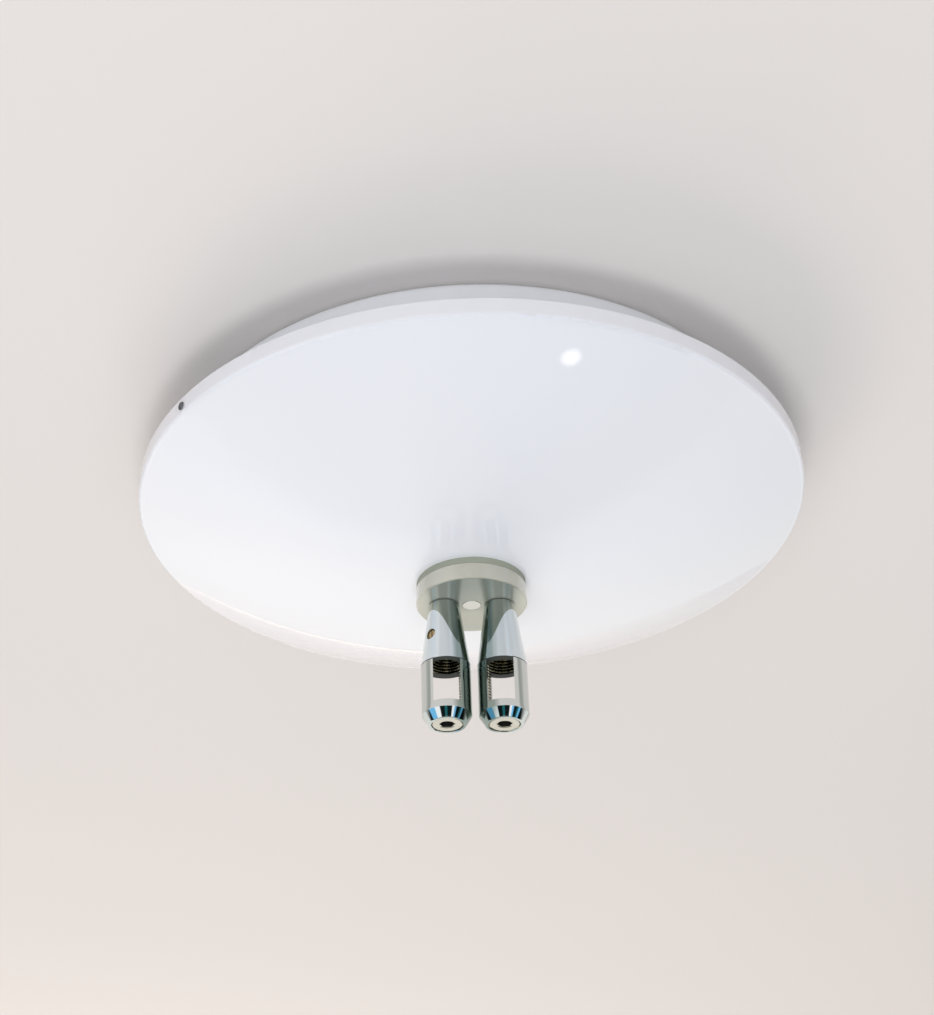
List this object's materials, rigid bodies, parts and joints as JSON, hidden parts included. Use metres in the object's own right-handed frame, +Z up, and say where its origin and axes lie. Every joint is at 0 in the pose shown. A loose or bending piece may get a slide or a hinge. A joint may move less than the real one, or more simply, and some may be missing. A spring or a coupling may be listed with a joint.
{
  "type": "low-voltage rail feed canopy",
  "caption": "Round ceiling canopy with a shallow white dome, a transformer inside, and two chrome barrels below that clamp and feed a pair of lighting rails.",
  "frame": {"origin": "centre of the ceiling face, between the two box screw slots on the mounting bar's upper side", "axes": "+Z up into the ceiling; X through the two rail barrels, left barrel at -X; the barrels hang towards -Z"},
  "size_m": [0.305, 0.305, 0.1377],
  "materials": {
    "zinc_steel": "zinc-plated steel, satin",
    "white_powder": "white powder coat",
    "white_enamel": "glossy white enamel on spun steel",
    "dark_steel": "blackened steel",
    "taped_winding": "copper wire wound under clear yellow tape",
    "core_steel": "wound silicon steel strip",
    "black_rubber": "black neoprene",
    "white_nylon": "natural nylon",
    "black_nylon": "black nylon",
    "brass": "bright brass",
    "green_screw": "green dyed zinc-plated steel",
    "black_lead": "black lead insulation",
    "green_lead": "green lead insulation",
    "blue_lead": "blue lead insulation",
    "red_lead": "red lead insulation",
    "olive_gasket": "olive grey rubber",
    "frosted_hub": "frosted clear polycarbonate",
    "fibre_board": "red vulcanised fibre",
    "stainless": "stainless steel",
    "tinned_copper": "tinned copper",
    "chrome": "bright chrome on brass",
    "nickel": "bright nickel, slightly warm"
  },
  "bodies": {
    "root": {"mounting_bar": "zinc_steel", "hanger_studs": "zinc_steel", "hanger_nuts": "zinc_steel", "base_pan": "white_powder", "entry_bushing": "black_nylon", "dome_shield": "white_enamel", "shield_brackets": "zinc_steel", "bracket_screws": "zinc_steel", "rim_screws": "dark_steel", "transformer_winding": "taped_winding", "transformer_core": "core_steel", "upper_cushion": "black_rubber", "lower_cushion": "black_rubber", "dished_washer": "zinc_steel", "transformer_bolt": "zinc_steel", "transformer_nut": "zinc_steel", "terminal_block": "white_nylon", "terminal_screws": "brass", "overload_breaker": "black_nylon", "breaker_blades": "brass", "earth_screw": "green_screw", "mains_lead": "black_lead", "earth_lead": "green_lead", "breaker_lead": "blue_lead", "left_feed_lead": "blue_lead", "right_feed_lead": "red_lead", "hub_gasket": "olive_gasket", "feed_hub": "frosted_hub", "backing_plate": "fibre_board", "hub_screw": "stainless", "hub_screw_nut": "zinc_steel", "left_feed_stud": "brass", "left_stud_sleeve": "white_nylon", "left_stud_nuts": "brass", "left_ring_terminal": "tinned_copper", "right_feed_stud": "brass", "right_stud_sleeve": "white_nylon", "right_stud_nuts": "brass", "right_ring_terminal": "tinned_copper"},
    "left_barrel": {"left_barrel": "chrome", "left_set_screw": "brass"},
    "left_pad": {"left_clamp_pad": "nickel"},
    "left_screw": {"left_clamp_screw": "nickel"},
    "right_barrel": {"right_barrel": "chrome", "right_set_screw": "brass"},
    "right_pad": {"right_clamp_pad": "nickel"},
    "right_screw": {"right_clamp_screw": "nickel"}
  },
  "joints": [
    {"name": "left_barrel_swivel", "type": "hinge", "parent": "root", "child": "left_barrel", "pos_m": [-0.0125, 0, -0.0883], "axis": [0, 0, 1], "continuous": true},
    {"name": "left_pad_lift", "type": "slide", "parent": "left_barrel", "child": "left_pad", "axis": [0, 0, 1], "range_m": [0, 0.015]},
    {"name": "left_screw_turn", "type": "hinge", "parent": "left_pad", "child": "left_screw", "pos_m": [-0.0125, 0, -0.1347], "axis": [0, 0, 1], "range_deg": [0, 3600]},
    {"name": "right_barrel_swivel", "type": "hinge", "parent": "root", "child": "right_barrel", "pos_m": [0.0125, 0, -0.0883], "axis": [0, 0, 1], "continuous": true},
    {"name": "right_pad_lift", "type": "slide", "parent": "right_barrel", "child": "right_pad", "axis": [0, 0, 1], "range_m": [0, 0.015]},
    {"name": "right_screw_turn", "type": "hinge", "parent": "right_pad", "child": "right_screw", "pos_m": [0.0125, 0, -0.1347], "axis": [0, 0, 1], "range_deg": [0, 3600]}
  ],
  "couplings": [
    {"joint": "left_pad_lift", "follows": "left_screw_turn", "m_per_rad": 0.00023873},
    {"joint": "right_pad_lift", "follows": "right_screw_turn", "m_per_rad": 0.00023873}
  ]
}
